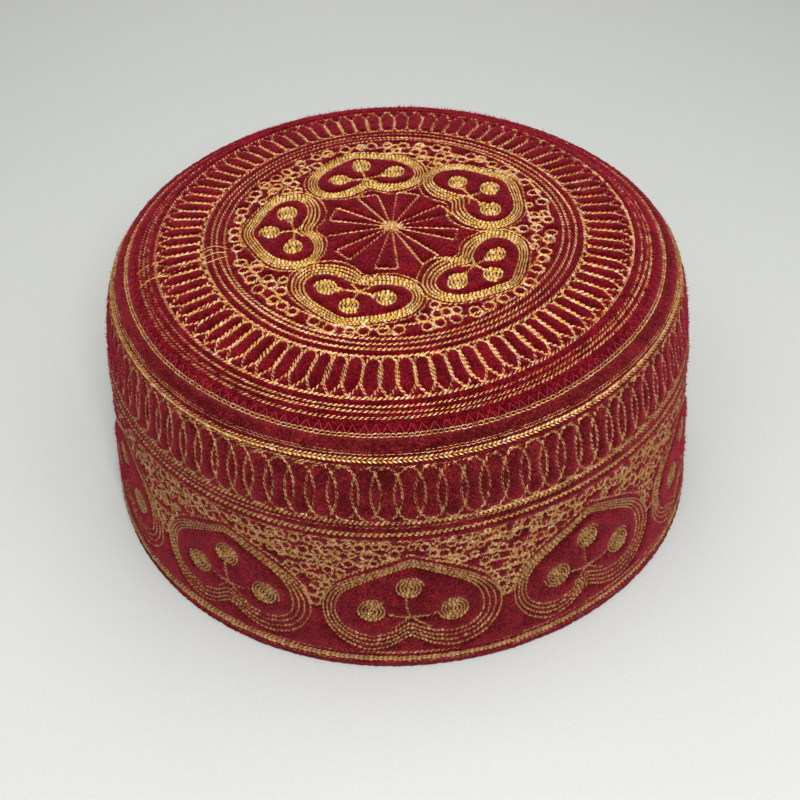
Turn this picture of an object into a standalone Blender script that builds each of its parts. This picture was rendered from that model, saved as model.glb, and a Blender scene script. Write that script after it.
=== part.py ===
"""Round embroidered velvet kufi: a low domed crown, a side band and two gold braids.

Units are metres, +Z up. The origin is the centre of the circle that the rim stands on,
-Y is the front. The cap is open below, with an empty hollow for the head.
"""
import math

import bmesh
import bpy

MM = 0.001

# Driving sizes, in millimetres.
HEAD_GIRTH = 550.0          # head circumference that the cap is made for
EASE = 3.0                  # extra girth inside the rim
CLOTH = 2.5                 # velvet, padding and backing together
HEIGHT = 87.3               # from the table to the middle of the crown
GAP = 0.3                   # clearance between pieces sewn to each other
RIM_ROUND = 0.4             # rounding of the folded hem
BRAID_WIDE = 2.6            # braid, along the cloth
BRAID_HIGH = 1.0            # braid, off the cloth
STEPS = 72                  # divisions round the cap
BRAID_SIDES = 6

FOOT = (HEAD_GIRTH + EASE) / (2 * math.pi) + CLOTH    # outer radius of the rim

# Outer outline of the whole cap, from the middle of the crown down to the rim.
# (place, radius as a share of FOOT, height in mm)
OUTLINE = (
    ("middle", 0.000, HEIGHT),
    ("rosette", 0.200, HEIGHT - 0.05),
    ("crown hearts", 0.400, HEIGHT - 0.25),
    ("ring lines", 0.553, HEIGHT - 0.65),
    ("crown ovals, inner ends", 0.614, HEIGHT - 1.1),
    ("crown ovals, outer ends", 0.772, HEIGHT - 2.7),
    ("triple lines", 0.798, HEIGHT - 3.5),
    ("shoulder", 0.828, HEIGHT - 4.8),
    ("seam", 0.869, HEIGHT - 7.1),
    ("rolled strip", 0.892, HEIGHT - 8.1),
    ("strip's lower side", 0.910, HEIGHT - 9.6),
    ("strip's edge", 0.917, HEIGHT - 10.5),
    ("shoulder braid", 0.923, HEIGHT - 11.3),
    ("band ovals, top", 0.933, HEIGHT - 13.3),
    ("band ovals, middle", 0.950, 66.5),
    ("band ovals, foot", 0.964, 57.0),
    ("upper lines", 0.969, 51.5),
    ("waist", 0.975, 40.0),
    ("band hearts", 0.984, 28.0),
    ("lobes", 0.992, 15.0),
    ("hem braid", 0.998, 3.5),
    ("rim", 1.000, RIM_ROUND),
)

# The cloth pieces: each runs from one place of the outline to another.
CLOTH_PIECES = (
    ("crown", "middle", "seam"),
    ("shoulder_strip", "seam", "strip's edge"),
    ("side_band", "strip's edge", "rim"),
)

BRAIDS = (
    ("shoulder_braid", "shoulder braid"),
    ("hem_braid", "hem braid"),
)

# How far the soft cap is out of round, as shares of the radius.
# (lobes round the cap, crown cos, crown sin, foot cos, foot sin)
OUT_OF_ROUND = (
    (1, 0.000, -0.009, 0.000, -0.009),
    (2, -0.003, 0.003, 0.004, -0.006),
    (3, 0.007, 0.002, 0.000, -0.009),
    (4, 0.004, -0.002, 0.003, -0.005),
)

# (name, colour, roughness, metallic)
MATERIALS = {
    "velvet": ((0.165, 0.006, 0.022, 1.0), 0.85, 0.0),
    "gold_thread": ((0.560, 0.350, 0.110, 1.0), 0.45, 0.0),
}


def clear_scene():
    """Remove the objects that a new file starts with."""
    for old in list(bpy.data.objects):
        bpy.data.objects.remove(old, do_unlink=True)


def make_material(name):
    """A plain Principled material for one cloth or thread."""
    colour, rough, metal = MATERIALS[name]
    mat = bpy.data.materials.new(name)
    mat.use_nodes = True
    shader = mat.node_tree.nodes["Principled BSDF"]
    shader.inputs["Base Color"].default_value = colour
    shader.inputs["Roughness"].default_value = rough
    shader.inputs["Metallic"].default_value = metal
    return mat


def outlines():
    """The cap's outer and inner outlines, as lists of (radius, height, direction) in millimetres."""
    points = [(share * FOOT, height) for _place, share, height in OUTLINE]
    outer, inner = [], []
    for i, (r, z) in enumerate(points):
        r0, z0 = points[max(i - 1, 0)]
        r1, z1 = points[min(i + 1, len(points) - 1)]
        length = math.hypot(r1 - r0, z1 - z0)
        along = ((r1 - r0) / length, (z1 - z0) / length)
        outer.append((r, z, along))
        inner.append((max(r + along[1] * CLOTH, 0.0), z - along[0] * CLOTH, along))
    return outer, inner


def place_index(place):
    """Where a named place stands in the outline."""
    return [row[0] for row in OUTLINE].index(place)


def cut_back(line, at_start, at_end):
    """A stretch of outline as (radius, height) pairs, its ends drawn back from the next piece."""
    points = [(r, z) for r, z, _along in line]
    for index, asked, sign in ((0, at_start, 1), (-1, at_end, -1)):
        if asked:
            r, z, along = line[index]
            points[index] = (r + sign * along[0] * GAP / 2, z + sign * along[1] * GAP / 2)
    return points


def soften(x, y, z):
    """Push a point of the round cap in or out, to the soft cap's own shape."""
    angle = math.atan2(y, x)
    crown_part = z / HEIGHT
    foot_part = 1.0 - crown_part
    factor = 1.0
    for lobes, crown_cos, crown_sin, foot_cos, foot_sin in OUT_OF_ROUND:
        wave_cos = math.cos(lobes * angle)
        wave_sin = math.sin(lobes * angle)
        factor += crown_part * (crown_cos * wave_cos + crown_sin * wave_sin)
        factor += foot_part * (foot_cos * wave_cos + foot_sin * wave_sin)
    return x * factor, y * factor


def turned(name, profile, closed, material, collection):
    """A closed solid turned from a profile of (radius, height) pairs, then softened."""
    bm = bmesh.new()
    verts = [bm.verts.new((r * MM, 0.0, z * MM)) for r, z in profile]
    for a, b in zip(verts, verts[1:]):
        bm.edges.new((a, b))
    if closed:
        bm.edges.new((verts[-1], verts[0]))
    line = bpy.data.meshes.new(name + "_line")
    bm.to_mesh(line)
    bm.free()
    guide = bpy.data.objects.new(name + "_line", line)
    collection.objects.link(guide)
    screw = guide.modifiers.new("turn", "SCREW")
    screw.angle = 2 * math.pi
    screw.steps = STEPS
    screw.render_steps = STEPS
    screw.use_merge_vertices = True
    screw.merge_threshold = 0.00001
    bpy.context.view_layer.update()
    depsgraph = bpy.context.evaluated_depsgraph_get()
    mesh = bpy.data.meshes.new_from_object(guide.evaluated_get(depsgraph))
    bpy.data.objects.remove(guide, do_unlink=True)
    bpy.data.meshes.remove(line)
    mesh.name = name
    for vertex in mesh.vertices:
        x, y, z = vertex.co
        vertex.co.x, vertex.co.y = soften(x, y, z / MM)
    mesh.shade_smooth()
    mesh.set_sharp_from_angle(angle=math.radians(50))
    mesh.materials.append(material)
    piece = bpy.data.objects.new(name, mesh)
    collection.objects.link(piece)
    return piece


def cloth_piece(name, start, end, material, collection):
    """One velvet piece of the wall, CLOTH thick, its cut ends square to the cloth."""
    i, j = place_index(start), place_index(end)
    on_axis = i == 0
    at_rim = j == len(OUTLINE) - 1
    outer, inner = outlines()
    outside = cut_back(outer[i:j + 1], not on_axis, not at_rim)
    inside = cut_back(inner[i:j + 1], not on_axis, not at_rim)
    foot = []
    if at_rim:
        # The folded rim stands on a flat foot between two small roundings.
        foot = [(outside[-1][0] - RIM_ROUND, 0.0), (inside[-1][0] + RIM_ROUND, 0.0)]
    profile = outside + foot + inside[::-1]
    return turned(name, profile, not on_axis, material, collection)


def braid(name, place, material, collection):
    """Flat gold braid that lies on the cloth at a named place of its outline."""
    outer, _inner = outlines()
    r, z, down = outer[place_index(place)]
    out = (-down[1], down[0])
    lift = GAP + BRAID_HIGH / 2
    to_corner = BRAID_HIGH / 2 / math.cos(math.pi / BRAID_SIDES)
    profile = []
    for k in range(BRAID_SIDES):
        turn = -2 * math.pi * (k + 0.5) / BRAID_SIDES
        along = math.cos(turn) * BRAID_WIDE / 2
        off = lift + math.sin(turn) * to_corner
        profile.append((r + down[0] * along + out[0] * off, z + down[1] * along + out[1] * off))
    return turned(name, profile, True, material, collection)


def build():
    clear_scene()
    cap = bpy.data.collections.new("kufi")
    bpy.context.scene.collection.children.link(cap)
    velvet = make_material("velvet")
    gold = make_material("gold_thread")
    for name, start, end in CLOTH_PIECES:
        cloth_piece(name, start, end, velvet, cap)
    for name, place in BRAIDS:
        braid(name, place, gold, cap)


build()
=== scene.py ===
"""Looks for the round embroidered velvet kufi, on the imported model's frame.

Tables are in millimetres and degrees, Blender's objects in metres, +Z up, -Y the front. A place on the
cap is (angle round +Z, length along the cloth from the middle of the crown). On the crown, flat x and y
are that length laid out flat. On the band, angles count from the front, positive to the viewer's right.
"""
import math

import bpy
import numpy as np
from mathutils import Matrix, Vector, kdtree

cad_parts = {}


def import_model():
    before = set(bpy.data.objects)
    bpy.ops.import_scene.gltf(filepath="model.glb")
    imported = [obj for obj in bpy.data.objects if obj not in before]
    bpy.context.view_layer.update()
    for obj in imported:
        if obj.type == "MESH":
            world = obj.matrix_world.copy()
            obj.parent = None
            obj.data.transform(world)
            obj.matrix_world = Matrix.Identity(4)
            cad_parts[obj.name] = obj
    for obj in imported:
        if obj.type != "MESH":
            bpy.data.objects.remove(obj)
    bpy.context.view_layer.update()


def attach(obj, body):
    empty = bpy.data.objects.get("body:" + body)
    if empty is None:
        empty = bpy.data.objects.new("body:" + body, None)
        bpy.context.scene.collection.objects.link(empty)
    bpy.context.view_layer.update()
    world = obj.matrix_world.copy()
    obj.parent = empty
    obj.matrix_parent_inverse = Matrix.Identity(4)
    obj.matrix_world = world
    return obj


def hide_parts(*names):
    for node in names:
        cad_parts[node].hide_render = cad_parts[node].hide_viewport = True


MM = 0.001
CLOTH = 2.5  # thickness of velvet, padding and backing together
HEIGHT = 87.3
SEED = 11
TURN = 2 * math.pi

# The cap's outer surface, from the crown's middle to the foot: (radius, height).
SECTIONS = (
    (0.0, 87.3), (30.0, 87.15),  # the middle, the crown hearts
    (50.0, 86.65), (55.5, 86.2), (69.8, 84.6), (72.2, 83.8),  # ring lines, crown ovals, triple lines
    (74.9, 82.5), (78.7, 80.2), (82.3, 77.7), (83.5, 76.0),  # shoulder, seam, strip, shoulder braid
    (84.4, 74.0), (86.0, 66.5), (87.2, 57.0),  # band ovals
    (87.7, 51.5), (88.2, 40.0), (89.0, 28.0), (89.8, 15.0),  # upper lines, waist, band hearts
    (90.3, 5.0), (90.5, 0.0),  # hem, foot
)

# How far the cap is out of round, in shares of the radius: (lobes, crown cos and sin, foot cos and sin).
OUT_OF_ROUND = (
    (1, 0.0, -0.009, 0.0, -0.009), (2, -0.003, 0.003, 0.004, -0.006),
    (3, 0.007, 0.002, 0.0, -0.009), (4, 0.004, -0.002, 0.003, -0.005),
)

# Places along the cloth.
SEAM = 79.9
STRIP_EDGE = 85.0
HEM = 162.4
DEGREE = 1.555  # one degree round the band, in mm

SINK = 0.5  # how deep the stitches lie in the pile

# Colours, as (place in the noise, colour) where they vary. GOLD is the crown's thread; the band's golds
# are darker copies of it, painted shade for the steep band.
GOLD = ((0.38, (0.82, 0.41, 0.034)), (0.5, (1.0, 0.51, 0.12)), (0.61, (1.0, 0.71, 0.43)))
HEART_GOLD = ((0.38, (0.7, 0.38, 0.012)), (0.5, (0.97, 0.54, 0.056)), (0.61, (1.0, 0.75, 0.35)))
SHADED_BAND_GOLD = ((0.38, (0.44, 0.225, 0.026)), (0.5, (0.58, 0.3, 0.062)), (0.62, (0.78, 0.45, 0.17)))
SHADED_SIDE_GOLD = ((0.38, (0.66, 0.34, 0.055)), (0.5, (0.8, 0.42, 0.12)), (0.62, (0.93, 0.56, 0.27)))
PAINTED_FOOT_SHADE_COLOUR = (0.11, 0.026, 0.002, 1.0)  # painted shade where a thread goes into the pile
VELVET = ((0.34, (0.014, 0.0001, 0.0003)), (0.5, (0.068, 0.0007, 0.002)), (0.66, (0.22, 0.006, 0.012)))
SIDE_VELVET = (
    (0.34, (0.014, 0.0004, 0.0006)), (0.5, (0.068, 0.004, 0.0048)), (0.66, (0.224, 0.017, 0.021)),
)
# The loose pile's colours: a lighter, pinker copy of the velvet, painted sheen.
SHEEN_PAINTED_PILE = ((0.34, (0.08, 0.001, 0.004)), (0.5, (0.25, 0.005, 0.018)), (0.66, (0.54, 0.022, 0.056)))
VELVET_SHEEN = 0.46
PILE_SHEEN = 0.8
VELVET_LOOK = {
    "Roughness": 0.9, "Specular IOR Level": 0.03,
    "Sheen Roughness": 0.36, "Sheen Tint": (0.82, 0.09, 0.14, 1.0),
}
GOLD_LOOK = {
    "Roughness": 0.3, "Metallic": 0.38, "Specular IOR Level": 0.6,
    "Coat Weight": 0.55, "Coat Roughness": 0.17,
}
SEAM_LOOK = {"Base Color": (0.24, 0.02, 0.032, 1.0), "Roughness": 0.6}
PAPER = ((0.3, (0.492, 0.499, 0.48)), (0.7, (0.516, 0.523, 0.504)))
SKY = {"Color": (0.86, 0.88, 0.86, 1.0), "Strength": 0.36}

# A chain stitch's two legs: (share of the pitch, middle, half thickness, height, lightness), sizes as
# shares of the width. The lightness is painted shade, dark at a leg's ends. A plait's legs stay open at the
# end.
LINKS = {
    "chain": (
        (-0.02, 0.05, 0.14, 0.06, 0.08), (0.2, 0.27, 0.21, 0.64, 1.0),
        (0.64, 0.32, 0.21, 0.72, 1.0), (0.96, 0.1, 0.13, 0.1, 0.06),
    ),
    "line": (
        (-0.04, 0.08, 0.15, 0.06, 0.08), (0.18, 0.22, 0.2, 0.58, 1.0),
        (0.64, 0.28, 0.2, 0.66, 1.0), (0.98, 0.12, 0.14, 0.08, 0.06),
    ),
    "plait": (
        (-0.3, 0.03, 0.12, 0.4, 0.55), (0.15, 0.17, 0.2, 0.54, 1.0),
        (0.62, 0.31, 0.21, 0.46, 1.0), (1.02, 0.42, 0.12, 0.08, 0.08),
    ),
    "grain": (
        (-0.04, 0.02, 0.12, 0.1, 0.06), (0.18, 0.15, 0.18, 0.6, 1.0),
        (0.68, 0.17, 0.18, 0.68, 1.0), (1.0, 0.03, 0.1, 0.1, 0.05),
    ),
    "eyelet": (
        (-0.08, 0.06, 0.14, 0.25, 0.45), (0.2, 0.4, 0.15, 0.5, 1.0),
        (0.66, 0.4, 0.15, 0.5, 1.0), (1.0, 0.08, 0.14, 0.25, 0.45),
    ),
}
# (lead of one leg over the other, lean of a stitch in widths, unevenness), first and last in pitches
SEWING = {
    "chain": (0.16, 0.14, 0.05), "line": (0.16, 0.42, 0.05), "plait": (0.0, 0.0, 0.05),
    "grain": (0.0, 0.1, 0.13), "eyelet": (0.0, 0.0, 0.05),
}
LEAN_MIDDLE = 0.45  # the share of the pitch where a leaning stitch crosses its row
EDGE_LEVEL = -0.3  # how far the edges of a leg lie in the pile, in widths
LEG_POINTS = 12  # four sections of three points
LEG_TONE = {-1: 1.0, 1: 0.78}  # one leg of a stitch catches more light
PAINTED_FOOT_SHADE = 0.05  # lightness where a leg goes into the pile: painted shade
STRAY_TONE = 0.75

# How uneven the sewing is: the most along the row, in pitches, and sideways in mm.
LOOSE_MOST = 0.3
WANDER = 0.05
WIDTH_SPREAD = 0.08
TONE_USUAL, TONE_SPREAD, TONE_LEAST = 0.92, 0.22, 0.35
WAVER = 0.12  # of a row round the cap, in each of its waves
WAVER_LOBES = (2, 3, 5, 9)

# A heart's rows, as shares of the way in from its outer edge, and their width: a share of the room
# between two rows, within limits.
CROWN_HEART_ROWS = (-0.28, 0.1, 0.37, 0.64, 0.92)
BAND_HEART_ROWS = (0.02, 0.34, 0.66, 0.98)
ROW_FILL, ROW_LEAST, ROW_MOST = 0.8, 0.56, 0.88
BAND_ROW_FILL = 0.95

# How the parts of the hearts are sewn.
CROWN_HEART_EDGE = {"pitch": 1.5, "width": 0.58, "kind": "line"}
CROWN_HEART_GRAIN = {"pitch": 1.15, "lift": 0.08, "kind": "grain"}
CROWN_DISC = {"pitch": 1.25, "width": 0.92, "kind": "grain"}
CROWN_STEM = {"pitch": 1.3, "width": 0.74, "lift": 0.1, "kind": "line"}
BAND_HEART_GRAIN = {"pitch": 1.32, "lift": 0.04, "kind": "grain"}
BAND_DISC = {"pitch": 1.3, "width": 0.8, "kind": "grain"}
BAND_STEM = {"pitch": 1.4, "width": 0.72, "lift": 0.05, "kind": "line"}

# A disc's spiral: how far its ends stay in, the gap between its turns, and its lift.
SPIRAL_END = 0.45
CROWN_DISC_GAP, DISC_GAP = 0.95, 0.98
CROWN_DISC_SIZE = 1.06  # times the sizes in the table
CROWN_DISC_LIFT, BAND_DISC_LIFT, DISC_DOME = 0.15, 0.1, 0.25

# One side of a crown heart's edges from apex to cleft, as shares of its width and of its height.
CROWN_HEART_MIDDLE = (33.5, 0.0)
CROWN_HEART_OUTER = (
    (0.0, 1.0), (0.27, 0.943), (0.53, 0.838), (0.76, 0.73), (0.925, 0.6), (0.995, 0.45), (0.995, 0.295),
    (0.89, 0.135), (0.69, 0.04), (0.44, 0.0), (0.23, 0.03),
)
CROWN_HEART_INNER = (
    (0.0, 1.0), (0.31, 0.9), (0.61, 0.775), (0.86, 0.61), (0.99, 0.405), (1.0, 0.245), (0.9, 0.085),
    (0.7, 0.005), (0.47, 0.01), (0.25, 0.085),
)

# The five crown hearts: direction of the axis, apex, cleft, then (width, foot) of the right side as seen
# from the middle, and of the left side. Each is (outer edge, inner edge).
CROWN_HEARTS = (
    (-110.0, (45.0, 42.2), (24.5, 28.0), ((19.3, 21.4), (15.0, 26.0)), ((18.5, 22.0), (15.3, 25.6))),
    (-40.8, (44.9, 42.2), (24.9, 28.6), ((18.8, 20.4), (15.4, 25.3)), ((18.0, 22.1), (15.0, 25.6))),
    (31.5, (44.7, 41.7), (21.5, 26.3), ((18.8, 17.5), (15.8, 22.0)), ((17.9, 19.1), (15.8, 23.5))),
    (104.9, (42.6, 39.9), (21.7, 25.4), ((18.7, 17.7), (15.5, 21.3)), ((17.9, 19.7), (14.8, 22.8))),
    (179.0, (43.8, 40.8), (23.3, 26.9), ((19.4, 20.8), (16.0, 25.0)), ((18.1, 19.8), (14.9, 22.6))),
)

# In each of them, where the stems meet and the three discs: (sideways, out, half width, half height).
CROWN_JUNCTIONS = ((0.3, 30.8), (-0.5, 30.4), (-0.8, 28.1), (0.0, 27.0), (0.1, 28.6))
CROWN_DISCS = (
    ((-8.7, 31.9, 3.7, 3.4), (0.1, 37.2, 3.5, 3.2), (8.4, 31.8, 3.5, 3.4)),
    ((-9.9, 31.0, 3.9, 3.3), (-0.8, 37.2, 3.4, 3.4), (6.9, 32.2, 3.6, 3.0)),
    ((-9.8, 28.4, 3.5, 3.6), (-0.8, 35.8, 3.5, 3.6), (7.6, 30.0, 3.5, 3.5)),
    ((-9.4, 27.8, 3.8, 3.2), (-0.7, 34.4, 3.5, 3.6), (7.9, 29.0, 3.6, 2.8)),
    ((-9.0, 30.9, 3.8, 3.4), (0.5, 35.8, 3.3, 3.5), (8.3, 29.0, 3.4, 3.4)),
)

# The rosette's petals: the two outer corners of each.
PETALS = (
    ((-5.5, -19.2), (1.0, -20.0)), ((8.0, -18.8), (12.7, -14.8)), ((18.0, -7.8), (19.2, -2.5)),
    ((18.3, 4.8), (15.2, 10.2)), ((9.2, 16.2), (2.5, 18.0)), ((-3.5, 17.3), (-9.8, 16.3)),
    ((-16.0, 11.3), (-18.3, 4.8)), ((-16.5, -10.3), (-12.5, -15.0)),
)
PETAL_FOOT = 0.06  # a petal begins at this share of the way to its corners
LONE_RAY = ((-1.0, -0.2), (-19.0, -3.0))
KNOT_RAYS = 9
KNOT_RADIUS = 2.1

# Layers of rings between the crown hearts and the ring lines: (along, pitch, half height, half width).
# Rings of the first move outward, clear of the hearts.
CROWN_LOOPS = (
    (45.9, 5.0, 2.1, 1.8), (42.0, 4.0, 1.9, 1.75), (38.5, 3.9, 1.8, 1.7),
    (35.1, 3.7, 1.7, 1.6), (31.8, 3.4, 1.4, 1.4),
)
LOOP_CLEAR, LOOP_MOVE, LOOP_OUTERMOST = 1.7, 0.2, 47.5
LOOP_NEAREST = 0.9  # no ring's middle is nearer to an outline

# A ring of the looped filling: its points, where it has come round, where it steps on, its least and most
# turns, and how much it winds inward.
RING_POINTS = 34
RING_ROUND = 0.86
STEP_FROM, STEP_SPAN = 0.84, 0.16
CROWN_TURNS, CROWN_SHRINK = (1.25, 1.7), 0.2
BAND_TURNS, BAND_SHRINK = (1.0, 1.35), 0.08

# Half of a crown oval: (along, half width in degrees).
CROWN_OVAL = (
    (55.7, 0.0), (55.95, 0.7), (56.7, 1.45), (58.1, 2.05), (60.0, 2.27), (62.5, 2.3), (64.5, 2.22),
    (65.8, 1.95), (67.3, 1.35), (68.7, 0.65), (69.7, 0.05),
)
CROWN_OVALS = 87
CROWN_OVAL_POST = -103.5  # direction of one pair of touching sides

BAND_OVALS = 97
BAND_OVAL_AT = 0.15
BAND_OVAL = (96.9, 8.6, 4.1)  # middle along the cloth, half height, half width

# A heart on the band, in degrees from its axis and length along the cloth.
BAND_HEART_MIDDLE = (0.0, 137.0)
BAND_HEART_OUTER = (
    (0.0, 120.2), (4.0, 122.4), (8.0, 125.5), (11.2, 128.6), (13.8, 132.2), (15.5, 136.3), (16.2, 141.0),
    (15.3, 147.0), (12.6, 152.3), (8.2, 155.2), (4.0, 153.8), (1.2, 151.0), (-0.4, 149.8), (-2.2, 151.8),
    (-5.0, 154.8), (-8.6, 155.5), (-12.2, 152.2), (-14.8, 146.5), (-15.6, 140.5), (-15.2, 135.5),
    (-13.4, 131.0), (-10.2, 127.2), (-6.0, 124.2), (-3.0, 122.2),
)
BAND_HEART_INNER = (
    (0.0, 122.6), (3.6, 124.8), (7.4, 127.9), (10.4, 131.2), (12.1, 135.0), (12.8, 139.8), (12.3, 144.6),
    (10.2, 148.0), (7.2, 149.0), (4.0, 148.2), (1.3, 146.2), (-0.4, 144.8), (-2.6, 147.4),
    (-6.0, 149.8), (-9.6, 149.0), (-12.4, 145.4), (-13.4, 140.6), (-13.0, 136.0), (-11.6, 132.2),
    (-8.6, 129.0), (-4.6, 125.6),
)
BAND_HEART_AXES = (-68.2, -34.0, 0.0, 34.2, 68.2, 100.1, 132.1, 164.0, -164.0, -132.1, -100.1)
BAND_DISCS = ((-0.3, 130.8, 4.5), (-6.9, 139.7, 4.7), (7.4, 140.3, 4.9))
BAND_STEMS = (
    ((-0.9, 134.9), (-0.8, 138.5), (-0.2, 142.2)),
    ((-3.9, 141.1), (-2.0, 142.0), (-0.2, 142.2)),
    ((4.3, 141.5), (2.0, 142.1), (-0.2, 142.2)),
    ((-0.2, 142.2), (1.3, 144.2), (3.4, 146.9)),
    ((-0.2, 142.2), (-1.5, 144.1), (-3.2, 146.8)),
)

# The thin line that borders the loop filling beside a band heart, on its right half.
BAND_BORDER = (
    (0.0, 118.0), (4.0, 120.6), (8.0, 123.4), (11.0, 126.2), (13.4, 129.4), (15.0, 133.2), (15.9, 137.0),
    (16.3, 139.3),
)
BORDER_FOOT = 139.3  # the lowest line of the loop filling
BORDER_HALF = 16.1  # half the width of a heart at that line, in degrees
BAND_LOOP_ROWS = (114.9, 138.5, 3.3)  # first, limit and step along the cloth
BAND_LOOP_PITCH = 3.6
BAND_LOOP_SIZES = (1.15, 1.75)

# Loose threads over the left of the crown, as (degrees round +Z, along).
STRAY = (
    ((-170.0, 47.5), (-170.6, 53.0), (-169.0, 59.0), (-167.5, 65.0), (-166.8, 71.0), (-166.2, 77.5)),
    ((-168.0, 48.0), (-167.0, 54.0), (-167.6, 61.0), (-166.2, 68.0), (-167.4, 73.5)),
    ((-171.5, 47.5), (-174.5, 52.5), (-173.4, 58.0), (-172.6, 64.5), (-172.4, 71.0), (-171.4, 78.0)),
    ((-173.5, 53.0), (-171.0, 56.5), (-168.5, 55.0)),
    ((-166.4, 69.0), (-169.5, 71.5), (-172.6, 70.0)),
)
STRAY_RADIUS = 0.1

# Rows of stitches round the cap: (along, pitch, width, lift, kind). Those of the shoulder and of the hem
# stand in for the plain braids.
CROWN_ROWS = (
    (49.4, 1.45, 0.8, 0.06, "line"), (51.2, 1.45, 0.8, 0.06, "line"), (53.2, 1.45, 0.8, 0.06, "line"),
    (55.6, 1.45, 0.72, 0.06, "line"), (69.9, 1.4, 1.0, 0.06, "line"), (72.4, 1.4, 0.74, 0.06, "line"),
    (73.9, 1.4, 0.74, 0.06, "line"), (75.4, 1.45, 0.84, 0.06, "line"),
)
BAND_ROWS = (
    (88.2, 1.6, 0.6, 0.0, "line"), (106.0, 1.35, 1.2, 0.0, "chain"), (107.8, 1.5, 0.72, 0.0, "line"),
    (109.8, 1.5, 1.3, 0.0, "chain"), (112.9, 1.8, 0.55, 0.0, "line"),
)
SHOULDER_ROWS = (
    (79.8, 1.5, 1.15, 0.45, "eyelet"), (84.3, 1.45, 0.92, 0.4, "eyelet"), (86.2, 1.28, 1.85, 0.15, "plait"),
)
HEM_ROWS = (
    (157.3, 1.5, 0.7, 0.0, "line"), (159.0, 1.35, 1.8, 0.1, "plait"), (161.4, 1.5, 0.5, -0.15, "line"),
)

# The red thread over the seam.
ZIGZAG_POINTS = 168
ZIGZAG_UPPER, ZIGZAG_LOWER = 77.2, 79.9
ZIGZAG_RADIUS, ZIGZAG_LIFT = 0.085, 0.55

# The relief of the cloth, in mm: (how far, over what distance it fades).
PULL = (0.55, 0.4)  # drawn in at a stitch
GROOVE = (0.35, 0.55)  # drawn in at the seam
NEAR_SWELL = (0.55, 0.55)  # how the pile rises beside a stitch
FAR_SWELL = (0.28, 3.0)  # and how it goes on rising
SWELL_FROM = -0.3
ROUGH_PILE = 0.09

# The pile is longer and higher where the crown turns down: (places), (values).
RIM_HIGHER = 0.42
RIM_SWELL = ((66.0, 70.5, 77.0, 80.0), (0.0, 1.0, 1.0, 0.0))
PILE_LENGTH = ((60.0, 68.0, 77.0, 82.0), (1.0, 1.25, 1.25, 1.0))

# The pieces of loose pile: (name, start, end, blades in a square mm, seed).
PILE_PIECES = (
    ("crown_pile", 0.0, STRIP_EDGE, 1.7, 40),
    ("side_pile", STRIP_EDGE, HEM - 0.6, 1.8, 41),
    ("rim_pile", 67.0, SEAM, 3.0, 42),
)
PILE_CLEAR = 0.42  # no blade stands nearer to a stitch
PILE_ROOT = 0.45  # how deep a blade begins in the pile
PILE_LEAN = 0.55
CLUMPS = 60  # to a radian
CLUMP_LENGTH = 1.5
CLUMP_HEIGHTS = (0.75, 1.6)
BLADE_LENGTHS = (0.8, 1.15)
BLADE_HALF_WIDTHS = (0.09, 0.17)

# The cloth's mesh: steps along the cloth, and points in a ring as (up to this place, count).
CLOTH_STEP = 0.76
SIDE_STEP = 0.92
CROWN_INNER_STEP = 6.0
SIDE_INNER_STEP = 4.0
CROWN_COUNTS = ((0.01, 1), (18.0, 184), (38.0, 368), (HEM, 736))
CROWN_INNER_COUNTS = ((0.01, 1), (HEM, 92))
SIDE_COUNT, HALF_COUNT, SIDE_INNER_COUNT = 736, 368, 184
CUT = 0.15  # the crown and the strip end this far from the seam
STRIP_CUT = 0.1  # and the strip and the band this far from the edge between them

# The wall's pieces: (name, node, start, end, height of its roll).
WALL_PIECES = (
    ("shoulder_roll", "shoulder_strip", SEAM + CUT, STRIP_EDGE - STRIP_CUT, 0.75),
    ("side_velvet", "side_band", STRIP_EDGE + STRIP_CUT, HEM, 0.0),
)

# The photograph's camera, fitted to the embroidered rings: focal length and shift in pixels of the
# frame, tilt and roll in degrees, and the distance from a point on its axis.
FRAME = 800.0
SENSOR = 36.0
FOCAL = 1347.3
SHIFT = (30.2, -89.0)
TILT, ROLL = 38.902, -2.741
DISTANCE = 407.4
AIM = (-7.52, -5.12, 60.0)

# Soft lights in metres and watts: (name, place, target, size, power).
LIGHTS = (
    ("above", (0.02, -0.16, 0.52), (0.0, -0.05, 0.0), (0.7, 0.7), 3.2),
    ("front", (0.06, -0.52, 0.5), (0.0, -0.05, 0.04), (0.15, 0.11), 3.2),
    ("behind", (-0.04, 0.52, 0.42), (0.0, 0.0, 0.06), (0.34, 0.24), 0.8),
)


def running_length(points):
    """The length along a line up to each of its points."""
    return np.concatenate([[0.0], np.cumsum(np.linalg.norm(np.diff(points, axis=0), axis=1))])


def resampled(at, length, values):
    """Points or directions of a line, read off at other lengths along it."""
    return np.stack([np.interp(at, length, values[:, k]) for k in range(3)], -1)


def profile_line(steps=12):
    """The outline through the sections as a smooth line, with the length along it."""
    known = np.array(SECTIONS)
    p = np.vstack([2 * known[0] - known[1], known, 2 * known[-1] - known[-2]])
    line = []
    for i in range(1, len(p) - 2):
        d0, d1, d2 = (math.sqrt(np.linalg.norm(p[i + k] - p[i + k - 1])) for k in range(3))
        m1 = (p[i] - p[i - 1]) / d0 - (p[i + 1] - p[i - 1]) / (d0 + d1) + (p[i + 1] - p[i]) / d1
        m2 = (p[i + 1] - p[i]) / d1 - (p[i + 2] - p[i]) / (d1 + d2) + (p[i + 2] - p[i + 1]) / d2
        for t in np.arange(steps) / steps:
            h00 = 2 * t ** 3 - 3 * t ** 2 + 1
            h10 = t ** 3 - 2 * t ** 2 + t
            h01 = -2 * t ** 3 + 3 * t ** 2
            h11 = t ** 3 - t ** 2
            line.append(h00 * p[i] + h10 * m1 * d1 + h01 * p[i + 1] + h11 * m2 * d1)
    line.append(known[-1])
    line = np.array(line)
    return line, running_length(line)


LINE, LENGTH = profile_line()


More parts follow.
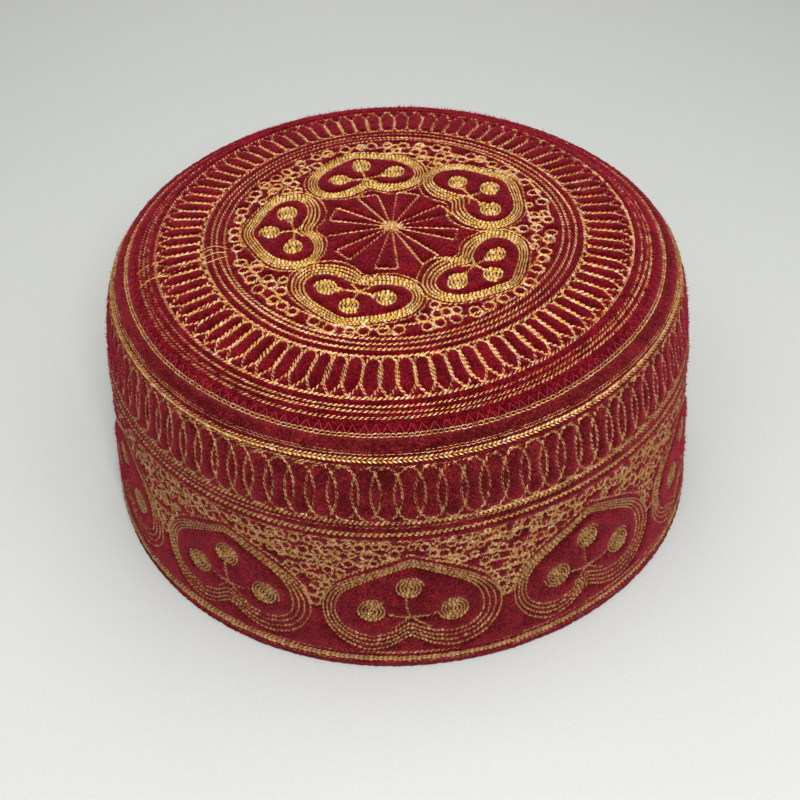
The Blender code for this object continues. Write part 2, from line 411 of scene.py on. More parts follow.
def surface(angle, along):
    """Points of the outer surface for angles in radians and lengths along the cloth."""
    r = np.interp(along, LENGTH, LINE[:, 0])
    z = np.interp(along, LENGTH, LINE[:, 1])
    crown_part = z / HEIGHT
    factor = 1.0
    for lobes, crown_cos, crown_sin, foot_cos, foot_sin in OUT_OF_ROUND:
        wave_cos, wave_sin = np.cos(lobes * angle), np.sin(lobes * angle)
        factor = factor + crown_part * (crown_cos * wave_cos + crown_sin * wave_sin)
        factor = factor + (1 - crown_part) * (foot_cos * wave_cos + foot_sin * wave_sin)
    return np.stack([r * factor * np.cos(angle), r * factor * np.sin(angle), z + 0 * angle], -1)


def unit(v):
    """Vectors with length 1."""
    return v / np.maximum(np.linalg.norm(v, axis=-1, keepdims=True), 1e-9)


def placed(angle, along):
    """Points of the outer surface and their outward normals."""
    angle, along = np.broadcast_arrays(np.asarray(angle, float), np.asarray(along, float))
    points = surface(angle, along)
    across = surface(angle + 0.004, along) - surface(angle - 0.004, along)
    down = surface(angle, along + 0.5) - surface(angle, np.maximum(along - 0.5, 0.0))
    normals = unit(np.cross(down, across))
    normals[along < 3.0] = (0.0, 0.0, 1.0)
    return points, normals


def backward(angle):
    """0 at the front and 1 at the back, where the long pile lies over the stitches."""
    return 0.5 + 0.5 * np.sin(angle)


def on_crown(flat):
    """Angle and length for flat crown points."""
    flat = np.asarray(flat, float)
    return np.arctan2(flat[..., 1], flat[..., 0]), np.hypot(flat[..., 0], flat[..., 1])


def on_band(points):
    """Angle and length for (degrees from the front, along) points."""
    points = np.asarray(points, float)
    return np.radians(points[..., 0] - 90.0), points[..., 1]


def smooth(points, closed=False, steps=10):
    """A smooth curve through the points."""
    p = np.asarray(points, float)
    if closed:
        p = np.vstack([p[-1], p, p[0], p[1]])
    else:
        p = np.vstack([2 * p[0] - p[1], p, 2 * p[-1] - p[-2]])
    t = (np.arange(steps) / steps)[:, None]
    parts = []
    for a, b, c, d in zip(p, p[1:], p[2:], p[3:]):
        parts.append(0.5 * (2 * b + (c - a) * t + (2 * a - 5 * b + 4 * c - d) * t ** 2
                            + (3 * b - a - 3 * c + d) * t ** 3))
    parts.append(p[-2:-1] if not closed else p[1:2])
    return np.vstack(parts)


def polar_curve(points, middle, directions):
    """Distance of a closed outline from a middle point, in each direction."""
    offset = smooth(points, closed=True)[:-1] - middle
    angle = np.arctan2(offset[:, 1], offset[:, 0])
    distance = np.hypot(offset[:, 0], offset[:, 1])
    order = np.argsort(angle)
    return np.interp(directions, angle[order], distance[order], period=TURN)


class Stitches:
    """Chain stitches on the surface, gathered for one piece."""

    def __init__(self, name, seed):
        """An empty piece with its own random numbers."""
        self.name = name
        self.random = np.random.default_rng(SEED + seed)
        self.links = []
        self.places = []  # points of the surface under the stitches, where they draw in the cloth

    def row(self, angle, along, pitch=1.5, width=0.9, lift=0.0, kind="chain"):
        """One row of stitches along a line on the surface."""
        bare, normals = placed(angle, along)
        points = bare + normals * (np.broadcast_to(lift, len(bare)) - SINK)[:, None]
        length = running_length(points)
        count = max(int(round(length[-1] / pitch)), 1)
        at = np.linspace(0.0, length[-1], count + 1)
        uneven = self.random.normal(0.0, SEWING[kind][2] * pitch, count - 1)
        at[1:-1] += np.clip(uneven, -LOOSE_MOST * pitch, LOOSE_MOST * pitch)
        ends = resampled(at, length, points)
        ups = unit(resampled(at, length, normals))
        sideways = np.cross(unit(np.gradient(ends, axis=0)), ups)
        ends += sideways * self.random.normal(0.0, WANDER, (count + 1, 1))
        wide = np.interp((at[1:] + at[:-1]) / 2, length, np.broadcast_to(width, len(bare)))
        wide = wide * self.random.normal(1.0, WIDTH_SPREAD, count)
        tone_and_painted_shade = np.clip(self.random.normal(TONE_USUAL, TONE_SPREAD, count), TONE_LEAST, 1.0)
        close = np.linspace(0.0, length[-1], 2 * count + 1)
        self.places.append(resampled(close, length, bare))
        kinds = np.full(count, list(LINKS).index(kind))
        self.links.append((ends[:-1], ends[1:], unit(ups[:-1] + ups[1:]), wide, tone_and_painted_shade, kinds))

    def flat_row(self, points, **how):
        """A row along flat crown points."""
        self.row(*on_crown(points), **how)

    def band_row(self, points, **how):
        """A row along (degrees from the front, along) points."""
        self.row(*on_band(points), **how)

    def round_row(self, along, pitch, width, lift=0.0, kind="chain", back=0.0):
        """A row all round the cap, with the small waver of free sewing. It lies deeper at the back."""
        angle = np.linspace(0.0, TURN, 1441)
        waver = 0.0
        for lobes in WAVER_LOBES:
            size, phase = self.random.normal(0.0, WAVER), self.random.uniform(0, 6.28)
            waver = waver + size * np.cos(lobes * angle + phase)
        self.row(angle, along + waver, pitch, width, lift - back * backward(angle), kind)

    def build(self, material):
        """The piece: every stitch as two rounded legs of thread."""
        a, b, up, wide, tone_and_painted_shade, kind = (np.concatenate([link[k] for link in self.links]) for k in range(6))
        side = unit(np.cross(up, b - a))
        skew, slant = np.array([SEWING[name] for name in LINKS])[kind].T[:2]
        verts, tones_and_painted_shade = [], []
        for leg in (-1, 1):
            for sections in np.moveaxis(np.array(list(LINKS.values())), 0, -1):
                share, middle, half, high, light = sections[:, kind]
                ahead = share + leg * skew
                for edge in (-1, 0, 1):
                    across = (leg * middle + edge * half * leg + slant * (share - LEAN_MIDDLE)) * wide
                    level = EDGE_LEVEL if edge else high
                    verts.append(a + (b - a) * ahead[:, None] + side * across[:, None]
                                 + up * (level * wide)[:, None])
                    # painted shade: a leg darkens at its ends and along its edges, where it goes into the
                    # pile
                    tones_and_painted_shade.append(tone_and_painted_shade * light * LEG_TONE[leg] * (PAINTED_FOOT_SHADE if edge else 1.0))
        verts = np.stack(verts, 1)
        tones_and_painted_shade = np.stack(tones_and_painted_shade, 1).reshape(-1)
        quads = np.array([0, 1, 3, 4, 6, 7])[:, None] + (0, 1, 4, 3)
        faces = np.vstack([quads[:, ::-1], quads + LEG_POINTS])
        every = faces + 2 * LEG_POINTS * np.arange(len(verts))[:, None, None]
        piece = make_piece(self.name, verts.reshape(-1, 3), every.reshape(-1, 4), material)
        set_tone_and_painted_shade(piece, tones_and_painted_shade)
        return piece


def linked(name, data):
    """A new object in the scene."""
    thing = bpy.data.objects.new(name, data)
    bpy.context.scene.collection.objects.link(thing)
    return thing


def make_piece(name, verts, faces, material, replaced=()):
    """A smooth mesh piece that rides on the cap."""
    mesh = bpy.data.meshes.new(name)
    mesh.from_pydata(np.asarray(verts) * MM, [], faces)
    mesh.shade_smooth()
    piece = linked(name, mesh)
    mesh.materials.append(material)
    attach(piece, "root")
    if replaced:
        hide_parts(*replaced)
    return piece


def set_tone_and_painted_shade(piece, tones_and_painted_shade):
    """Keep with the mesh how light the thread is at each vertex, painted shade included."""
    shade = piece.data.attributes.new("tone_and_painted_shade", "FLOAT", "POINT")
    shade.data.foreach_set("value", tones_and_painted_shade.astype(np.float32))


def spiral(middle, radius, gap=DISC_GAP, scale=(1.0, 1.0), tilt=0.0):
    """A flat spiral from the middle out."""
    turns = (radius - 0.75) / gap
    t = np.linspace(0.0, 1.0, int(turns * 40) + 12)
    r = SPIRAL_END + (radius - 2 * SPIRAL_END) * t
    a = TURN * turns * t + tilt
    return np.stack([middle[0] + r * np.cos(a) * scale[0], middle[1] + r * np.sin(a) * scale[1]], -1)


def domed(rim, far):
    """The lift of a disc's spiral, at shares of its radius."""
    return rim + DISC_DOME * (1 - far ** 2)


def heart_rows(outer, inner, middle, shares):
    """Closed rows between a heart's edges, each with its widths."""
    turn = np.linspace(0.0, TURN, 241)
    r_out = polar_curve(outer, middle, turn)
    r_in = polar_curve(inner, middle, turn)
    room = (r_out - r_in) * (shares[-1] - shares[-2])
    width = np.clip(ROW_FILL * room, ROW_LEAST, ROW_MOST)
    rows = []
    for share in shares:
        r = r_out + share * (r_in - r_out)
        rows.append((np.stack([middle[0] + r * np.cos(turn), middle[1] + r * np.sin(turn)], -1), width))
    return rows


def turned(line, begin):
    """A closed line's values from another beginning."""
    return np.concatenate([line[begin:-1], line[:begin + 1]])


def crown_heart_edge(side_shape, apex, cleft, right, left):
    """A crown heart's closed edge as (out, sideways) points. Each side is its (width, foot)."""
    half = np.array(side_shape)
    sides = []
    for sign, (width, foot) in ((-1, right), (1, left)):
        sides.append(np.stack([foot + half[:, 1] * (apex - foot), sign * width * half[:, 0]], -1))
    return np.vstack([sides[0], [(cleft, 0.0)], sides[1][:0:-1]])


def crown_disc(thread, disc, joint, axes):
    """One spiral disc in a crown heart, with its stem to the joint."""
    middle = np.array((disc[1], disc[0]))
    half_wide, half_high = np.array(disc[2:]) * CROWN_DISC_SIZE
    radius = (half_wide + half_high) / 2
    tilt = thread.random.uniform(0, 6.28)
    curl = spiral((0.0, 0.0), radius, CROWN_DISC_GAP, (half_high / radius, half_wide / radius), tilt)
    far = np.hypot(curl[:, 0], curl[:, 1]) / radius
    thread.flat_row((curl + middle) @ axes, lift=domed(CROWN_DISC_LIFT, far), **CROWN_DISC)
    away = joint - middle
    ahead = away / np.hypot(*away)
    across = np.array((-ahead[1], ahead[0]))
    for offset, reach in ((0.0, 1.0), (-1.0, 0.5), (1.0, 0.5)):
        begin = middle + ahead * (radius - 0.5) + across * offset
        finish = middle + away * reach + across * offset * 0.15
        if np.dot(finish - begin, ahead) > 0.8:
            thread.flat_row(np.linspace(begin, finish, 8) @ axes, **CROWN_STEM)


def crown_hearts():
    """Heart rows, discs and stems on the crown. Returns the stitches and the hearts' outlines."""
    thread = Stitches("crown_hearts", 1)
    outlines = []
    for heart, joint, discs in zip(CROWN_HEARTS, CROWN_JUNCTIONS, CROWN_DISCS):
        direction, apex, cleft, right, left = heart
        turn = math.radians(direction)
        axes = np.array(((math.cos(turn), math.sin(turn)), (-math.sin(turn), math.cos(turn))))
        outer = crown_heart_edge(CROWN_HEART_OUTER, apex[0], cleft[0], right[0], left[0])
        inner = crown_heart_edge(CROWN_HEART_INNER, apex[1], cleft[1], right[1], left[1])
        rows = heart_rows(outer, inner, CROWN_HEART_MIDDLE, CROWN_HEART_ROWS)
        outline = rows[0][0] @ axes
        thread.flat_row(outline, **CROWN_HEART_EDGE)
        outlines.append(outline)
        for row, width in rows[1:]:
            begin = thread.random.integers(len(row))
            thread.flat_row(turned(row @ axes, begin), width=turned(width, begin), **CROWN_HEART_GRAIN)
        joint = np.array(joint[::-1])
        for disc in discs:
            crown_disc(thread, disc, joint, axes)
        for side in (-1, 1):
            leg = [joint, joint + (-1.3, 1.2 * side), joint + (-2.7, 2.9 * side)]
            thread.flat_row(smooth(leg) @ axes, **CROWN_STEM)
    return thread, outlines


def rosette():
    """The petals in the middle of the crown, and the knot where they meet."""
    thread = Stitches("crown_rosette", 2)
    for first, second in PETALS:
        first, second = np.array(first), np.array(second)
        corners = [first * PETAL_FOOT, first, second, second * PETAL_FOOT]
        sides = [np.linspace(p, q, 24) for p, q in zip(corners, corners[1:])]
        thread.flat_row(np.vstack(sides), pitch=1.55, width=0.7, kind="line")
    thread.flat_row(np.linspace(*LONE_RAY, 24), pitch=1.5, width=0.75, kind="line")
    for k in range(KNOT_RAYS):
        turn = k * 0.72 + 0.2
        reach = 3.0 + 0.5 * math.sin(5 * k)
        ray = np.array((math.cos(turn), math.sin(turn)))
        thread.flat_row(np.linspace(-0.6 * ray, reach * ray, 8), pitch=1.4, width=0.8, lift=0.35)
    thread.flat_row(spiral((0.0, 0.0), KNOT_RADIUS), pitch=1.2, width=0.8, lift=0.6)
    return thread


def cursive(centres, sizes, outward, random, turns, shrink):
    """A line that winds a ring round each centre and steps to the next.

    A ring's size is (half its height along the outward direction there, half its width).
    """
    turn = random.uniform(0, 6.28)
    t = np.linspace(0.0, 1.0, RING_POINTS, endpoint=False)
    wound = np.minimum(t / RING_ROUND, 1.0)
    near = 1 - shrink * wound
    step = np.clip((t - STEP_FROM) / STEP_SPAN, 0.0, 1.0)
    step = (step * step * (3 - 2 * step))[:, None]
    parts = []
    for k in range(len(centres)):
        here = np.array(centres[k])
        after = np.array(centres[min(k + 1, len(centres) - 1)])
        size = np.array(sizes[k]) * random.uniform(0.86, 1.14, 2)
        out = np.array(outward[k])
        across = np.array((-out[1], out[0]))
        round_it = TURN * random.uniform(*turns) * random.choice((-1, 1))
        a = turn + wound * round_it
        turn += round_it
        parts.append(here + (after - here) * step + np.outer(near * size[0] * np.cos(a), out)
                     + np.outer(near * size[1] * np.sin(a), across))
    return np.vstack(parts)


def beside_hearts(r, angle, hearts):
    """A flat crown point, and its distance from the hearts' outlines."""
    x, y = r * math.cos(angle), r * math.sin(angle)
    return (x, y), np.hypot(hearts[:, 0] - x, hearts[:, 1] - y).min()


def crown_loops(outlines):
    """The cursive rings between the crown hearts and the ring lines."""
    thread = Stitches("crown_loops", 3)
    hearts = np.vstack(outlines)
    for layer, pitch, high, wide in CROWN_LOOPS:
        outermost = layer == CROWN_LOOPS[0][0]
        run, sizes = [], []
        count = int(TURN * layer / pitch)
        for k in range(count + 1):
            angle = (k + 0.2 * thread.random.normal()) * TURN / count
            r = layer + thread.random.normal(0, 0.3)
            point, near = beside_hearts(r, angle, hearts)
            while outermost and near < LOOP_CLEAR and r < LOOP_OUTERMOST:
                r += LOOP_MOVE
                point, near = beside_hearts(r, angle, hearts)
            inside = any(inside_outline(point, line) for line in outlines)
            if near > LOOP_NEAREST and k < count and not inside:
                run.append(point)
                sizes.append((min(high, near + 0.4), min(wide, near + 0.3)))
            elif run:
                outward = unit(np.array(run))
                flat = cursive(run, sizes, outward, thread.random, CROWN_TURNS, CROWN_SHRINK)
                thread.flat_row(flat, pitch=1.3, width=0.62, lift=0.14, kind="line")
                run, sizes = [], []
    return thread


def inside_outline(point, line):
    """Whether a flat point lies inside a closed outline."""
    x, y = line[:, 0], line[:, 1]
    x1, y1 = np.roll(x, -1), np.roll(y, -1)
    crosses = (y > point[1]) != (y1 > point[1])
    at = x + (point[1] - y) / np.where(y1 == y, 1e-9, y1 - y) * (x1 - x)
    return bool((crosses & (point[0] < at)).sum() % 2)


def crown_ovals():
    """The ring of overlapping ovals on the crown. Each is two curved sides."""
    thread = Stitches("crown_ovals", 4)
    half = smooth(CROWN_OVAL, steps=5)
    pitch = 360.0 / CROWN_OVALS
    for k in range(CROWN_OVALS):
        middle = CROWN_OVAL_POST + (k + 0.5) * pitch + thread.random.normal(0, 0.1)
        shift = thread.random.normal(0, 0.12)
        for side in (-1, 1):
            angle = np.radians(middle + side * half[:, 1])
            lift = 0.04 - 0.2 * backward(angle)
            thread.row(angle, half[:, 0] + shift, pitch=1.5, width=0.88, lift=lift, kind="line")
    return thread


def band_ovals():
    """The ring of overlapping ovals on the band."""
    thread = Stitches("band_ovals", 6)
    middle, high, wide = BAND_OVAL
    t = np.linspace(0.0, TURN, 61)
    for k in range(BAND_OVALS):
        at = BAND_OVAL_AT + k * 360.0 / BAND_OVALS + thread.random.normal(0, 0.12)
        squeeze = thread.random.normal(1.0, 0.03)
        x = at + wide * squeeze * np.sin(t) / DEGREE
        y = middle + thread.random.normal(0, 0.15) - high * np.cos(t)
        thread.band_row(np.stack([x, y], -1), pitch=1.5, width=0.7)
    return thread


def band_hearts():
    """Heart rows, discs and stems on the band."""
    thread = Stitches("band_hearts", 7)
    outer, inner = ([(x * DEGREE, y) for x, y in edge] for edge in (BAND_HEART_OUTER, BAND_HEART_INNER))
    rows = heart_rows(outer, inner, BAND_HEART_MIDDLE, BAND_HEART_ROWS)
    for axis in BAND_HEART_AXES:
        for row, width in rows:
            points = np.stack([row[:, 0] / DEGREE + axis, row[:, 1]], -1)
            begin = thread.random.integers(len(row))
            width = turned(width, begin) * BAND_ROW_FILL
            thread.band_row(turned(points, begin), width=width, **BAND_HEART_GRAIN)
        for x, y, radius in BAND_DISCS:
            flat = spiral((x * DEGREE, y), radius, tilt=thread.random.uniform(0, 6.28))
            far = np.hypot(flat[:, 0] - x * DEGREE, flat[:, 1] - y) / radius
            flat[:, 0] = flat[:, 0] / DEGREE + axis
            thread.band_row(flat, lift=domed(BAND_DISC_LIFT, far), **BAND_DISC)
        for stem in BAND_STEMS:
            thread.band_row(smooth(stem) + (axis, 0.0), **BAND_STEM)
    return thread


def band_loops():
    """The loop filling round the band hearts, with its border lines."""
    thread = Stitches("band_loops", 8)
    axes = sorted(BAND_HEART_AXES)
    right = smooth(BAND_BORDER)
    whole = np.vstack([right[::-1] * (-1, 1), right[1:]])
    for axis in axes:
        thread.band_row(whole + (axis, 0.0), pitch=1.45, width=0.7)
    for axis, after in zip(axes, axes[1:] + [axes[0] + 360.0]):
        gap = after - axis
        middle = axis + gap / 2
        foot = max(gap / 2 - BORDER_HALF, 0.6)
        line = np.linspace((middle - foot, BORDER_FOOT), (middle + foot, BORDER_FOOT), 8)
        thread.band_row(line, pitch=1.4, width=0.8)
        for row, along in enumerate(np.arange(*BAND_LOOP_ROWS)):
            run, sizes = [], []
            for at in [*np.arange(axis + (row % 2) * 1.2, after, BAND_LOOP_PITCH / DEGREE), None]:
                room = -1.0
                if at is not None:
                    x = at + thread.random.normal(0, 0.28)
                    y = along + thread.random.normal(0, 0.4)
                    beside = abs(min(x - axis, after - x))
                    room = np.interp(beside, *right.T, right=BORDER_FOOT) - y
                if room > LOOP_NEAREST:
                    run.append((x * DEGREE, y))
                    size = min(thread.random.uniform(*BAND_LOOP_SIZES), room + 0.3)
                    sizes.append((size, size))
                elif run:
                    outward = [(0.0, 1.0)] * len(run)
                    flat = cursive(run, sizes, outward, thread.random, BAND_TURNS, BAND_SHRINK)
                    flat[:, 0] /= DEGREE
                    thread.band_row(flat, pitch=1.3, width=0.68, lift=0.12, kind="line")
                    run, sizes = [], []
    return thread


def round_rows(name, seed, rows, back=0.0):
    """A piece of rows that go all round the cap."""
    thread = Stitches(name, seed)
    for row in rows:
        thread.round_row(*row, back=back)
    return thread


def skin(rings, closed=False):
    """Faces between rings. Each has as many vertices as the next, half or twice as many, or one."""
    faces = []
    starts = [0, *np.cumsum([len(r) for r in rings])[:-1].tolist()]
    if closed:
        rings, starts = rings + rings[:1], starts + starts[:1]
    for first, second, a0, b0 in zip(rings, rings[1:], starts, starts[1:]):
        n, m = len(first), len(second)
        most = max(n, m)
        for i in range(most):
            j = (i + 1) % most
            a, a1 = a0 + i * n // most, a0 + j * n // most
            b, b1 = b0 + i * m // most, b0 + j * m // most
            if n == m:
                faces.append((a, b, b1, a1))
            elif a == a1 or b == b1:
                faces.append((a, b, b1) if a == a1 else (a, b, a1))
            elif n < m:
                faces += [(a, b, a1), (a1, b, b1)]
            else:
                faces += [(a, b, b1), (a, b1, a1)]
    return faces


def swell(away, along, angle):
    """How far the pile stands out, at distances from the nearest stitch."""
    near = NEAR_SWELL[0] + RIM_HIGHER * np.interp(along, *RIM_SWELL) * backward(angle)
    beside = near * (1 - np.exp(-(away / NEAR_SWELL[1]) ** 2))
    return SWELL_FROM + beside + FAR_SWELL[0] * (1 - np.exp(-(away / FAR_SWELL[1]) ** 2))


def stitch_distance(points, tree):
    """The distance from each point to the nearest stitch."""
    return np.array([tree.find(point)[2] for point in points])


def outer_ring(along, count, rolled, tree, random):
    """A ring of the outer side, drawn in at the stitches and swelling between them."""
    angle, points, normals = ring(along, count)
    away = stitch_distance(points, tree)
    pull = -PULL[0] * np.exp(-(away / PULL[1]) ** 2)
    roll = rolled * np.sin(np.clip((along - SEAM) / (STRIP_EDGE - SEAM), 0, 1) * math.pi)
    groove = -GROOVE[0] * np.exp(-((along - SEAM) / GROOVE[1]) ** 2)
    pile = random.normal(0.0, ROUGH_PILE, count)
    return points + normals * (pull + swell(away, along, angle) + roll + groove + pile)[:, None]


def inner_ring(along, count):
    """A ring of the inner side."""
    points, normals = ring(along, count)[1:]
    return points - normals * CLOTH


def ring(along, count):
    """Angles, points and normals of a ring of the surface."""
    angle = np.linspace(0.0, TURN, count, endpoint=False)
    return (angle, *placed(angle, np.full(count, along)))


def ring_places(start, end, step):
    """Places along the cloth, about a step apart."""
    return np.linspace(start, end, max(int(round(abs(end - start) / step)), 1) + 1)


def ring_count(along, counts):
    """How many points a crown ring has. The middle is a single point."""
    return next(count for limit, count in counts if along <= limit)


def crown_cloth(material, tree, random):
    """The crown as cloth with an outer and an inner side."""
    edge = SEAM - CUT
    rings = []
    for along in ring_places(0.0, edge, CLOTH_STEP):
        rings.append(outer_ring(along, ring_count(along, CROWN_COUNTS), 0.0, tree, random))
    rings += [inner_ring(edge, HALF_COUNT), inner_ring(edge, SIDE_INNER_COUNT)]
    for along in ring_places(edge, 0.0, CROWN_INNER_STEP):
        rings.append(inner_ring(along, ring_count(along, CROWN_INNER_COUNTS)))
    return make_piece("crown_velvet", np.vstack(rings), skin(rings), material, ["crown"])


def wall_cloth(material, tree, random):
    """The cloth of the rolled strip and of the side band."""
    pieces = []
    for name, node, start, end, rolled in WALL_PIECES:
        rings = []
        for along in ring_places(start, end, SIDE_STEP):
            rings.append(outer_ring(along, SIDE_COUNT, rolled, tree, random))
        rings.append(inner_ring(end, HALF_COUNT))
        for along in ring_places(end, start, SIDE_INNER_STEP):
            rings.append(inner_ring(along, SIDE_INNER_COUNT))
        rings.append(inner_ring(start, HALF_COUNT))
        faces = skin(rings, closed=True)
        pieces.append(make_piece(name, np.vstack(rings), faces, material, [node]))
    return pieces


def pile_piece(name, start, end, per_mm, tree, material, seed):
    """Loose ends of the pile between two places along the cloth, one small blade each."""
    random = np.random.default_rng(SEED + seed)
    along = np.linspace(start, end, 400)
    weight = np.interp(along, LENGTH, LINE[:, 0])
    share = np.concatenate([[0.0], np.cumsum((weight[1:] + weight[:-1]) / 2)])
    area = TURN * share[-1] * (along[1] - along[0])
    count = int(area * per_mm)
    at = np.interp(random.uniform(0, share[-1], count), share, along)
    angle = random.uniform(0, TURN, count)
    points, normals = placed(angle, at)
    away = stitch_distance(points, tree)
    keep = away > PILE_CLEAR
    points, normals, away, angle, at = (v[keep] for v in (points, normals, away, angle, at))
    count = len(points)
    lean = unit(normals + random.normal(0.0, PILE_LEAN, (count, 3)))
    across = unit(np.cross(lean, random.normal(0.0, 1.0, (count, 3))))
    base = points + normals * (swell(away, at, angle) - PILE_ROOT)[:, None]
    clumps = random.uniform(*CLUMP_HEIGHTS, (CLUMPS, CLUMPS))
    column = (angle * CLUMPS).astype(int) % CLUMPS
    row = (at / CLUMP_LENGTH).astype(int) % CLUMPS
    tall = np.interp(at, *PILE_LENGTH) * clumps[row, column] * np.clip(away / 0.75, 0.7, 1.0)
    length = random.uniform(*BLADE_LENGTHS, (count, 1)) * tall[:, None]
    wide = random.uniform(*BLADE_HALF_WIDTHS, (count, 1))
    verts = np.stack([base - across * wide, base + across * wide, base + lean * length], 1).reshape(-1, 3)
    faces = np.arange(3 * count).reshape(-1, 3)
    return make_piece(name, verts, faces, material)


def stray_threads(material):
    """The loose gold jump threads over the left of the crown."""
    verts, faces = np.zeros((0, 3)), []
    for line in STRAY:
        line = smooth(line)
        points, normals = placed(np.radians(line[:, 0]), line[:, 1])
        lift = 0.05 + 0.3 * np.sin(np.linspace(0, 3 * math.pi, len(points))) ** 2
        tube, sides = thread_tube(points + normals * lift[:, None], normals, STRAY_RADIUS)
        faces.append(sides + len(verts))
        verts = np.vstack([verts, tube])
    piece = make_piece("stray_threads", verts, np.vstack(faces), material)
    set_tone_and_painted_shade(piece, np.full(len(verts), STRAY_TONE))


class Look:
    """A material and its nodes. An input is set to a constant or linked to another node's output."""

    def __init__(self, name):
        """A new material with a plain surface."""
        self.material = bpy.data.materials.new(name)
        self.material.use_nodes = True
        self.tree = self.material.node_tree

    def feed(self, node, inputs):
        """Set or link a node's inputs."""
        for name, value in inputs.items():
            if isinstance(value, bpy.types.NodeSocket):
                self.tree.links.new(value, node.inputs[name])
            else:
                node.inputs[name].default_value = value

    def add(self, kind, output, inputs=None, **values):
        """The output of a new node."""
        node = self.tree.nodes.new(kind)
        for key, value in values.items():
            setattr(node, key, value)
        self.feed(node, inputs or {})
        return node.outputs[output]

    def noise(self, scale, detail, rough=0.5):
        """A noise fixed to the object."""
        where = self.add("ShaderNodeTexCoord", "Object")
        inputs = {"Vector": where, "Scale": scale, "Detail": detail, "Roughness": rough}
        return self.add("ShaderNodeTexNoise", "Fac", inputs)

    def ramp(self, source, stops):
        """Colours between the given stops."""
        node = self.tree.nodes.new("ShaderNodeValToRGB")
        elements = node.color_ramp.elements
        elements.remove(elements[0])
        for index, (at, colour) in enumerate(stops):
            element = elements.new(at) if index else elements[0]
            element.position = at
            element.color = (*colour, 1.0)
        self.feed(node, {"Fac": source})
        return node.outputs["Color"]

    def bump(self, height, strength, distance):
        """Small relief."""
        inputs = {"Height": height, "Strength": strength, "Distance": distance}
        return self.add("ShaderNodeBump", "Normal", inputs)

    def finished(self, inputs):
        """The material, with the inputs of its surface."""
        self.feed(self.tree.nodes["Principled BSDF"], inputs)
        return self.material


def velvet_material(name, stops, sheen):
    """Short, dense crimson pile with crushed patches and a rosy sheen on slopes."""
    look = Look(name)
    noises = {"Factor": 0.72, "A": look.noise(160.0, 3.0, 0.6), "B": look.noise(1500.0, 3.0, 0.75)}
    pile = look.add("ShaderNodeMix", 0, noises, data_type="FLOAT")
    face = {"Base Color": look.ramp(pile, stops), "Normal": look.bump(pile, 0.8, 0.0008)}
    return look.finished({"Sheen Weight": sheen, **face, **VELVET_LOOK})


def gold_material(name, stops):
    """Glossy gold thread, lighter on some stitches than on others, with painted shade where it goes into
    the pile.
    """
    look = Look(name)
    colour = look.ramp(look.noise(640.0, 2.0, 0.6), stops)
    # the stitch's tone with its painted shade, mixed towards the dark foot colour
    tone_and_painted_shade = look.add("ShaderNodeAttribute", "Fac", attribute_name="tone_and_painted_shade")
    shades = {"Factor": tone_and_painted_shade, "A": PAINTED_FOOT_SHADE_COLOUR, "B": colour}
    shade = look.add("ShaderNodeMix", "Result", shades, data_type="RGBA")
    relief = look.bump(look.noise(5200.0, 1.0), 0.5, 0.0001)
    return look.finished({"Base Color": shade, "Normal": relief, **GOLD_LOOK})


def thread_tube(points, normals, radius, sides=4):
    """A thin thread as a tube along points, as vertices and faces."""
    along = unit(np.gradient(points, axis=0))
    side = unit(np.cross(along, normals))
    up = np.cross(side, along)
    rings = []
    for k in range(sides):
        turn = TURN * (k + 0.5) / sides
        rings.append(points + radius * (math.cos(turn) * side + math.sin(turn) * up))
    verts = np.stack(rings, 1).reshape(-1, 3)
    i = np.arange(len(points) - 1)[:, None]
    k = np.arange(sides)[None]
    j = (k + 1) % sides
    faces = np.stack([i * sides + k, i * sides + j, (i + 1) * sides + j, (i + 1) * sides + k], -1)
    return verts, faces.reshape(-1, 4)


def zigzag(material):
    """The red thread over the seam, in narrow points."""
    k = np.arange(2 * ZIGZAG_POINTS + 1)
    angle = np.radians(k * 180.0 / ZIGZAG_POINTS)
    random = np.random.default_rng(SEED + 20)
    along = np.where(k % 2, ZIGZAG_UPPER, ZIGZAG_LOWER) + random.normal(0, 0.18, len(k))
    angle = angle + random.normal(0, 0.0016, len(k))
    fine = np.linspace(0, len(k) - 1, (len(k) - 1) * 4 + 1)
    angle, along = np.interp(fine, k, angle), np.interp(fine, k, along)
    points, normals = placed(angle, along)
    verts, faces = thread_tube(points + normals * ZIGZAG_LIFT, normals, ZIGZAG_RADIUS)
    return make_piece("seam_zigzag", verts, faces, material)


def camera():
    """The photograph's view, 39 degrees down from the front."""
    data = bpy.data.cameras.new("camera")
    data.sensor_width = SENSOR
    data.lens = FOCAL * SENSOR / FRAME
    data.shift_x = SHIFT[0] / FRAME
    data.shift_y = SHIFT[1] / FRAME
    data.clip_start = 0.01
    data.clip_end = 50.0
    cam = linked("camera", data)
    turn = Matrix.Rotation(math.radians(90.0 - TILT), 4, "X") @ Matrix.Rotation(math.radians(ROLL), 4, "Z")
    place = Vector(AIM) + turn.col[2].to_3d() * DISTANCE
    cam.matrix_world = Matrix.Translation(place * MM) @ turn
    bpy.context.scene.camera = cam


def area_light(name, place, target, size, power):
    """A soft rectangular light that faces its target."""
    data = bpy.data.lights.new(name, "AREA")
    data.shape = "RECTANGLE"
    data.size, data.size_y = size
    data.energy = power
    light = linked(name, data)
    light.location = place
    light.rotation_euler = (Vector(target) - Vector(place)).to_track_quat("-Z", "Y").to_euler()


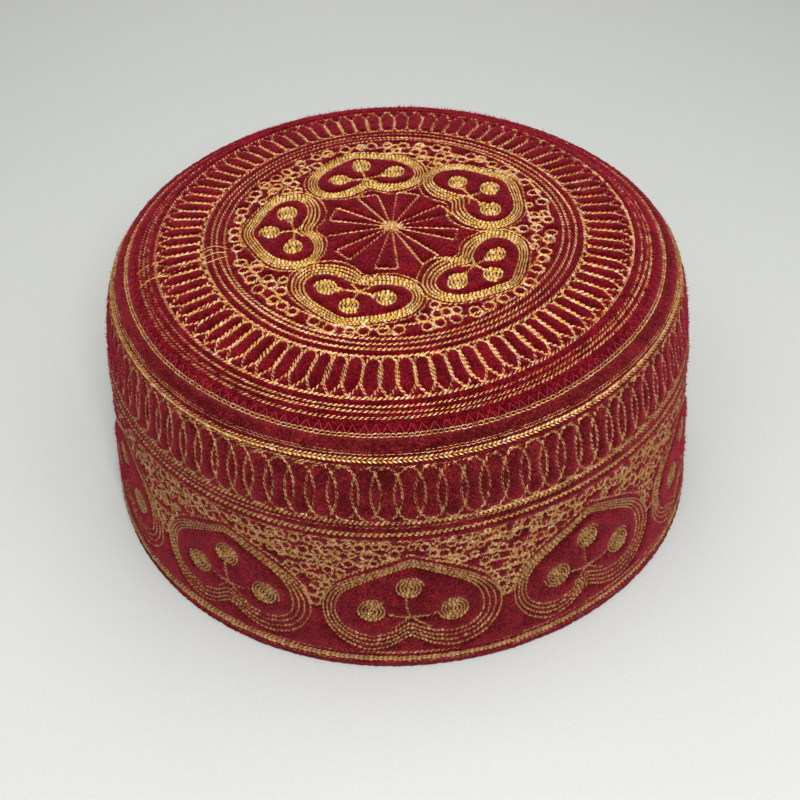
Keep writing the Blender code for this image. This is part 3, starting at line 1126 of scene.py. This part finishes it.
def studio():
    """Plain pale floor and soft light."""
    floor_mesh = bpy.data.meshes.new("floor")
    floor_mesh.from_pydata([(-3, -3, 0), (3, -3, 0), (3, 3, 0), (-3, 3, 0)], [], [(0, 1, 2, 3)])
    floor = linked("floor", floor_mesh)
    look = Look("pale_floor")
    colour = look.ramp(look.noise(900.0, 3.0), PAPER)
    floor_mesh.materials.append(look.finished({"Base Color": colour, "Roughness": 0.75}))
    world = bpy.data.worlds.new("studio")
    world.use_nodes = True
    for name, value in SKY.items():
        world.node_tree.nodes["Background"].inputs[name].default_value = value
    bpy.context.scene.world = world
    for light in LIGHTS:
        area_light(*light)
    bpy.context.scene.view_settings.view_transform = "Standard"


def stitch_tree(work):
    """A tree that finds the nearest stitch to a point."""
    places = np.vstack([line for thread in work for line in thread.places])
    tree = kdtree.KDTree(len(places))
    for index, point in enumerate(places):
        tree.insert(point, index)
    tree.balance()
    return tree


def main():
    """Sew the rows, and lay the cloth and its pile round them."""
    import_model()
    camera()
    studio()

    gold = gold_material("gold_thread", GOLD)
    heart_gold = gold_material("gold_thread_hearts", HEART_GOLD)
    # darker copies of the gold thread: painted shade on the steep band
    shaded_band_gold = gold_material("gold_thread_band_shaded", SHADED_BAND_GOLD)
    shaded_side_gold = gold_material("gold_thread_side_shaded", SHADED_SIDE_GOLD)
    velvet = velvet_material("crimson_velvet", VELVET, VELVET_SHEEN)
    side_velvet = velvet_material("crimson_velvet_side", SIDE_VELVET, VELVET_SHEEN)

    hearts, outlines = crown_hearts()
    shoulder = round_rows("shoulder_chain", 10, SHOULDER_ROWS)
    hem = round_rows("hem_chain", 11, HEM_ROWS)
    work = [hearts, rosette(), crown_loops(outlines), crown_ovals(),
            round_rows("crown_rings", 5, CROWN_ROWS, back=0.14), band_ovals(), band_hearts(), band_loops(),
            round_rows("band_rows", 9, BAND_ROWS), shoulder, hem]
    tree = stitch_tree(work)
    golds = {"crown_hearts": heart_gold, "band_hearts": shaded_band_gold}
    golds.update({name: shaded_side_gold for name in ("band_ovals", "band_loops", "band_rows", "hem_chain")})
    pieces = {thread.name: thread.build(golds.get(thread.name, gold)) for thread in work}
    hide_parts("shoulder_braid")
    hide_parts("hem_braid")

    random = np.random.default_rng(SEED + 30)
    crown = crown_cloth(velvet, tree, random)
    roll, side = wall_cloth(side_velvet, tree, random)
    # the loose pile is lighter and pinker than the cloth: painted sheen
    sheen_painted_tips = velvet_material("crimson_pile_painted_sheen", SHEEN_PAINTED_PILE, PILE_SHEEN)
    for name, start, end, per_mm, seed in PILE_PIECES:
        pile_piece(name, start, end, per_mm, tree, sheen_painted_tips, seed)
    stray_threads(gold)
    zigzag(Look("red_seam_thread").finished(SEAM_LOOK))


main()
